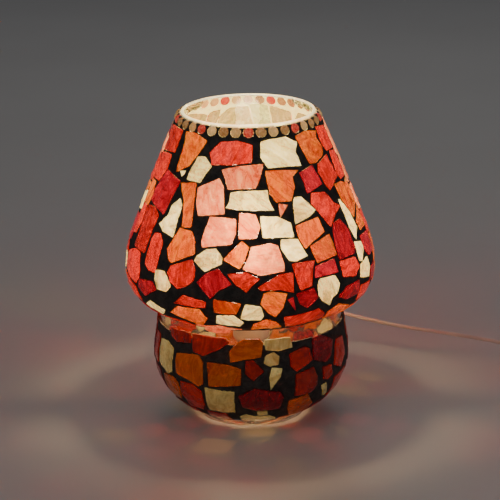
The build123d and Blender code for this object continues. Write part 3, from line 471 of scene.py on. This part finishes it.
def groutMatter(look):
    recipe = Recipe("grout")
    body = recipe.noise(160, 6.0, 0.65)
    sand = recipe.noise(1500, 3.0, 0.7)
    pits = recipe.cells(420)
    tone = recipe.mix(recipe.span(body, 0.4, 0.75, 0.0, 1.0), look["colour"], look["worn"])
    # the pits are darkened in colour, a painted shade in the small hollows
    tone = recipe.mix(recipe.span(pits, 0.0, 0.25, 0.8, 0.0), tone, look["paintedPitShade"])
    # inside, the pale bed under the chips shows, only high in the shade and glowing: a real bed colour, with
    # painted light from the bulb
    high = recipe.span(recipe.height(), *look["bedPaintedLightFrom"], 0.0, 1.0)
    bedShare = recipe.math("MULTIPLY", recipe.inward(), high)
    bedPaintedGlow = recipe.math("MULTIPLY", bedShare, recipe.span(body, 0.3, 0.7, 0.7, 1.7))
    tone = recipe.mix(bedShare, tone, look["bed"])
    normal = recipe.bump(body, 0.6, 0.0008)
    normal = recipe.bump(sand, 0.7, 0.00025, normal)
    normal = recipe.bump(recipe.span(pits, 0.0, 0.3, 0.0, 1.0), 0.8, 0.0004, normal)
    rough = recipe.span(sand, 0.3, 0.7, 0.6, 0.92)
    shader = recipe.shader(Base_Color=tone, Roughness=rough, Normal=normal, Emission_Color=look["bed"],
                           Emission_Strength=bedPaintedGlow)
    return recipe.finish(shader.outputs[0])


def makeGrout(look):
    lumps = bpy.data.textures.new("groutLumps", "CLOUDS")
    lumps.noise_scale = look["lumpSize"]
    lumps.noise_depth = 3
    matter = groutMatter(look)
    for name, newName in (("shade_grout", "shadeGrout"), ("base_grout", "baseGrout")):
        piece = copyNode(name, newName)
        remesh = piece.modifiers.new("fill", "REMESH")
        remesh.mode = "VOXEL"
        remesh.voxel_size = look["voxel"]
        relief = piece.modifiers.new("lumps", "DISPLACE")
        relief.texture = lumps
        relief.texture_coords = "LOCAL"
        relief.strength = look["lump"]
        relief.mid_level = 0.5
        applyAll(piece)
        smoothByAngle(piece, 60)
        print("grout", newName, len(piece.data.polygons))
        setMaterial(piece, matter)
        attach(piece, "lamp")
        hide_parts(name)


makeGrout(groutLook)
print("stage: grout")

# Clear blown glass body
glassLook = {"tint": (0.985, 0.99, 0.985), "draw": 0.06 * mm, "roughness": 0.02,
             "passing": (0.97, 0.975, 0.97),
             # the lip values paint a bright line of light along the glass's top edge
             "paintedLipLine": (0.2366, 0.2380), "lipPaintedLight": 1.3, "lipPaintedLightColour": (1.0, 0.83, 0.46)}


def clearGlass(name, look):
    recipe = Recipe(name)
    swell = recipe.noise(28, 2.0, 0.5, 0.4)
    seeds = recipe.noise(700, 2.0, 0.5)
    rough = recipe.span(seeds, 0.4, 0.75, look["roughness"], look["roughness"] * 3)
    normal = recipe.bump(swell, 0.25, 0.002)
    # a thin bright line along the top lip of the glass is painted light, an emission for the bulb's light in
    # the glass edge
    paintedLipLine = recipe.span(recipe.height(), *look["paintedLipLine"], 0.0, look["lipPaintedLight"])
    shader = recipe.shader(Base_Color=look["tint"], Roughness=rough, Transmission_Weight=1.0, IOR=1.46,
                           Normal=normal, Emission_Color=look["lipPaintedLightColour"], Emission_Strength=paintedLipLine)
    return recipe.finishClear(shader.outputs[0], look["passing"])


def makeGlass(look):
    piece = copyNode("glass_body", "blownGlassBody")
    openMesh(piece)
    bpy.ops.transform.shrink_fatten(value=-look["draw"])
    closeMesh()
    smoothByAngle(piece, 45)
    setMaterial(piece, clearGlass("blownGlass", look))
    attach(piece, "lamp")
    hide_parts("glass_body")


makeGlass(glassLook)
print("stage: glass body")

# The frosted bulb and what is sealed in it
bulbLook = {
    "frost": (0.95, 0.92, 0.86), "warm": (1.0, 0.62, 0.30), "hot": (1.0, 0.80, 0.52), "glow": 9.0,
    # heights over which the glow comes in and fades, and the share at each
    "comesIn": (0.106, 0.122, 0.35, 1.0), "fades": (0.166, 0.179, 1.0, 0.55),
}


def frostedGlow(look):
    recipe = Recipe("frostedBulb")
    frost = recipe.noise(900, 2.0, 0.6)
    rise = recipe.height()
    share = recipe.math("MULTIPLY", recipe.span(rise, *look["comesIn"]), recipe.span(rise, *look["fades"]))
    level = recipe.math("MULTIPLY", share, recipe.span(frost, 0.3, 0.7, 0.9, 1.1))
    level = recipe.math("MULTIPLY", level, look["glow"])
    tone = recipe.mix(share, look["warm"], look["hot"])
    shader = recipe.shader(Base_Color=look["frost"], Roughness=0.5, Emission_Color=tone,
                           Emission_Strength=level, Normal=recipe.bump(frost, 0.2, 0.0001))
    return recipe.finishClear(shader.outputs[0], (1.0, 1.0, 1.0))


def makeBulb(look):
    piece = copyNode("bulb_envelope", "frostedBulbGlass")
    smoothByAngle(piece, 40)
    setMaterial(piece, frostedGlow(look))
    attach(piece, "bulb")
    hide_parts("bulb_envelope")


makeBulb(bulbLook)
print("stage: bulb")


# Plain finishes for the fittings that keep their CAD shape
def moulded(name, colour, roughness, grainScale=1800.0, depth=0.00004):
    recipe = Recipe(name)
    grain = recipe.noise(grainScale, 3.0, 0.6)
    cloud = recipe.noise(60, 3.0, 0.5)
    dull = tuple(0.86 * part for part in colour)
    tone = recipe.mix(recipe.span(cloud, 0.35, 0.7, 0.0, 1.0), colour, dull)
    rough = recipe.span(grain, 0.3, 0.7, roughness * 0.85, min(1.0, roughness * 1.2))
    shader = recipe.shader(Base_Color=tone, Roughness=rough, Normal=recipe.bump(grain, 0.5, depth))
    return recipe.finish(shader.outputs[0])


def metal(name, colour, roughness, brush=(1.0, 1.0, 1 / 15)):
    recipe = Recipe(name)
    mapping = recipe.add("ShaderNodeMapping")
    mapping.inputs["Scale"].default_value = brush
    recipe.join(recipe.coords.outputs["Object"], mapping.inputs["Vector"])
    lines = recipe.noise(900, 4.0, 0.6, vector=mapping.outputs[0])
    blotch = recipe.noise(120, 3.0, 0.5)
    dark = tuple(0.7 * part for part in colour)
    tone = recipe.mix(recipe.span(blotch, 0.4, 0.75, 0.0, 1.0), colour, dark)
    rough = recipe.span(lines, 0.3, 0.7, roughness * 0.7, min(1.0, roughness * 1.4))
    shader = recipe.shader(Base_Color=tone, Metallic=1.0, Roughness=rough,
                           Normal=recipe.bump(lines, 0.3, 0.00003))
    return recipe.finish(shader.outputs[0])


def glowing(name, colour, strength):
    recipe = Recipe(name)
    grain = recipe.noise(1500, 2.0, 0.6)
    shader = recipe.shader(Base_Color=colour, Roughness=0.6, Emission_Color=colour,
                           Emission_Strength=recipe.span(grain, 0.3, 0.7, strength * 0.8, strength * 1.2))
    return recipe.finish(shader.outputs[0])


def finishFittings():
    ivory = moulded("ivoryMoulding", (0.80, 0.78, 0.70), 0.38)
    cover = moulded("switchMoulding", (0.84, 0.82, 0.75), 0.30)
    rocker = moulded("rockerMoulding", (0.88, 0.87, 0.82), 0.24)
    core = moulded("holderCore", (0.72, 0.68, 0.58), 0.55)
    rubber = moulded("softRubber", (0.035, 0.035, 0.035), 0.75, 900.0, 0.00008)
    silicone = moulded("cloudySilicone", (0.16, 0.06, 0.03), 0.45, 900.0, 0.00008)
    strap = moulded("strapPlastic", (0.03, 0.03, 0.03), 0.5, 700.0, 0.0001)
    black = moulded("capInsulator", (0.012, 0.012, 0.014), 0.18)
    steel = metal("springSteel", (0.62, 0.61, 0.58), 0.32, (1.0, 2 / 45, 1.0))
    zinc = metal("zincPlated", (0.66, 0.66, 0.65), 0.35)
    brass = metal("contactBrass", (0.72, 0.52, 0.22), 0.30)
    nickel = metal("nickelPlated", (0.80, 0.77, 0.70), 0.22, (1 / 15, 1.0, 1.0))
    aluminium = metal("capAluminium", (0.78, 0.78, 0.77), 0.34)
    solder = metal("solder", (0.60, 0.60, 0.60), 0.45)
    finishes = {
        "holder_strip": steel, "strip_pads": silicone, "holder_skirt": ivory, "shade_ring": ivory,
        "holder_cap": ivory, "holder_core": core, "holder_terminals": brass, "terminal_screws": zinc,
        "centre_contact": brass, "threaded_shell": brass, "cord_grommet": rubber, "coil_tie": strap,
        "switch_lower_case": cover, "switch_upper_case": cover, "switch_screws": zinc, "switch_pin": zinc,
        "switch_rocker": rocker, "switch_contacts": brass, "switch_blocks": brass, "plug_body": cover,
        "plug_pins": nickel, "plug_relief": cover, "bulb_cap": aluminium, "bulb_contact": solder,
        "bulb_insulator": black, "bulb_stem": clearGlass("stemGlass", glassLook),
        "bulb_filaments": glowing("filament", (1.0, 0.75, 0.4), 20.0),
        "bulb_filament_frame": aluminium,
    }
    for name, material in finishes.items():
        setMaterial(nodes[name], material)


finishFittings()
print("stage: fittings")

# The cord: one round cord from the glass to the switch, the coil and the plug
cordLook = {"radius": 1.6 * mm, "length": 1.8, "colour": (0.74, 0.70, 0.60), "roughness": 0.32}
toSwitch = [
    (0, 0.071, 0.066), (0.001, 0.085, 0.0655), (0.008, 0.097, 0.063), (0.022, 0.104, 0.059),
    (0.042, 0.103, 0.0525), (0.064, 0.097, 0.0455), (0.090, 0.092, 0.0388), (0.120, 0.090, 0.0322),
    (0.150, 0.089, 0.0274), (0.178, 0.088, 0.0229), (0.203, 0.086, 0.0186), (0.226, 0.079, 0.0135),
    (0.241, 0.066, 0.0095), (0.246, 0.055, 0.008), (0.246, 0.046, 0.008),
]
throughSwitch = [(0.246, 0.030, 0.008), (0.246, 0.0, 0.008)]
toCoil = [(0.246, -0.014, 0.008), (0.246, -0.022, 0.007), (0.2465, -0.0325, 0.0038), (0.2475, -0.043, 0.002)]
toPlug = [
    (0.2505, -0.084, 0.0018), (0.2530, -0.0925, 0.0018), (0.2620, -0.0970, 0.0018), (0.2722, -0.0932, 0.0024),
    (0.2780, -0.0835, 0.0042), (0.2790, -0.0700, 0.0064), (0.2790, -0.0550, 0.00685),
]
coilPlan = {
    # a curve runs inside its points, so their radius is divided by pull
    "place": (0.227, -0.066), "turns": 11, "perTurn": 12, "start": 10.0, "pull": 0.9665,
    # the rings that the turns follow, as their radius and height in millimetres
    "rings": [(24.0, 1.8), (20.9, 1.8), (17.7, 1.8), (14.5, 1.9), (14.5, 4.5), (17.7, 4.5), (20.9, 4.5),
              (23.9, 4.6), (17.0, 7.2), (17.6, 7.2), (20.8, 7.2), (23.9, 6.2), (24.3, 2.4)],
}
insideRoute = [
    (0, 0.071, 0.066), (0, 0.058, 0.065), (0, 0.047, 0.058), (0, 0.038, 0.046), (0, 0.026, 0.036),
    (0, 0.012, 0.032), (0, 0.003, 0.038), (0, 0, 0.046), (0, 0, 0.064),
]


def coilPoints(plan):
    points = []
    last = len(plan["rings"]) - 1
    total = plan["turns"] * plan["perTurn"]
    for step in range(total + 1):
        angle = math.radians(plan["start"] - 360 * step / plan["perTurn"])
        along = step / total * last
        before = min(int(along), last - 1)
        share = along - before
        low, high = plan["rings"][before], plan["rings"][before + 1]
        radius = (low[0] + (high[0] - low[0]) * share) * mm / plan["pull"]
        height = (low[1] + (high[1] - low[1]) * share) * mm
        points.append((plan["place"][0] + radius * math.cos(angle),
                       plan["place"][1] + radius * math.sin(angle), height))
    return points


def cordJacket(look):
    recipe = Recipe("cordJacket")
    grain = recipe.noise(1400, 3.0, 0.6)
    cloud = recipe.noise(35, 3.0, 0.5)
    dull = tuple(0.8 * part for part in look["colour"])
    tone = recipe.mix(recipe.span(cloud, 0.35, 0.65, 0.0, 1.0), look["colour"], dull)
    shader = recipe.shader(Base_Color=tone, Roughness=look["roughness"], Subsurface_Weight=0.15,
                           Subsurface_Radius=(0.002, 0.0018, 0.0012), Coat_Weight=0.3, Coat_Roughness=0.2,
                           Normal=recipe.bump(grain, 0.25, 0.00004))
    return recipe.finish(shader.outputs[0])


def roundCord(name, points, look, material):
    data = bpy.data.curves.new(name, "CURVE")
    data.dimensions = "3D"
    data.bevel_depth = look["radius"]
    data.bevel_resolution = 4
    data.resolution_u = 6
    data.use_fill_caps = True
    line = data.splines.new("NURBS")
    line.points.add(len(points) - 1)
    for point, place in zip(line.points, points):
        point.co = (*place, 1)
    line.order_u = 3
    line.use_endpoint_u = True
    data.materials.append(material)
    cord = bpy.data.objects.new(name, data)
    bpy.context.scene.collection.objects.link(cord)
    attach(cord, "lamp")
    return cord


def makeCord(look, plan):
    jacket = cordJacket(look)
    inner = roundCord("cordInBase", insideRoute, look, jacket)
    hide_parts("cord_inside")
    cord = roundCord("cord", toSwitch + throughSwitch + toCoil + coilPoints(plan) + toPlug, look, jacket)
    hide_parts("cord_line", "cord_link", "cord_tail", "cord_coil")


makeCord(cordLook, coilPlan)
print("stage: cord")

# The table that the lamp stands on
floorLook = {"size": 6.0, "colour": (0.60, 0.58, 0.55), "worn": (0.56, 0.54, 0.51)}


def makeFloor(look):
    deselectAll()
    bpy.ops.mesh.primitive_plane_add(size=look["size"], location=(0, 0, 0))
    floor = bpy.context.object
    floor.name = "floor"
    recipe = Recipe("paleFloor")
    cloud = recipe.noise(3.0, 4.0, 0.5)
    fine = recipe.noise(300, 3.0, 0.6)
    tone = recipe.mix(recipe.span(cloud, 0.3, 0.7, 0.0, 1.0), look["colour"], look["worn"])
    shader = recipe.shader(Base_Color=tone, Roughness=0.42, Normal=recipe.bump(fine, 0.1, 0.0001))
    setMaterial(floor, recipe.finish(shader.outputs[0]))


makeFloor(floorLook)
print("stage: floor")

deselectAll()
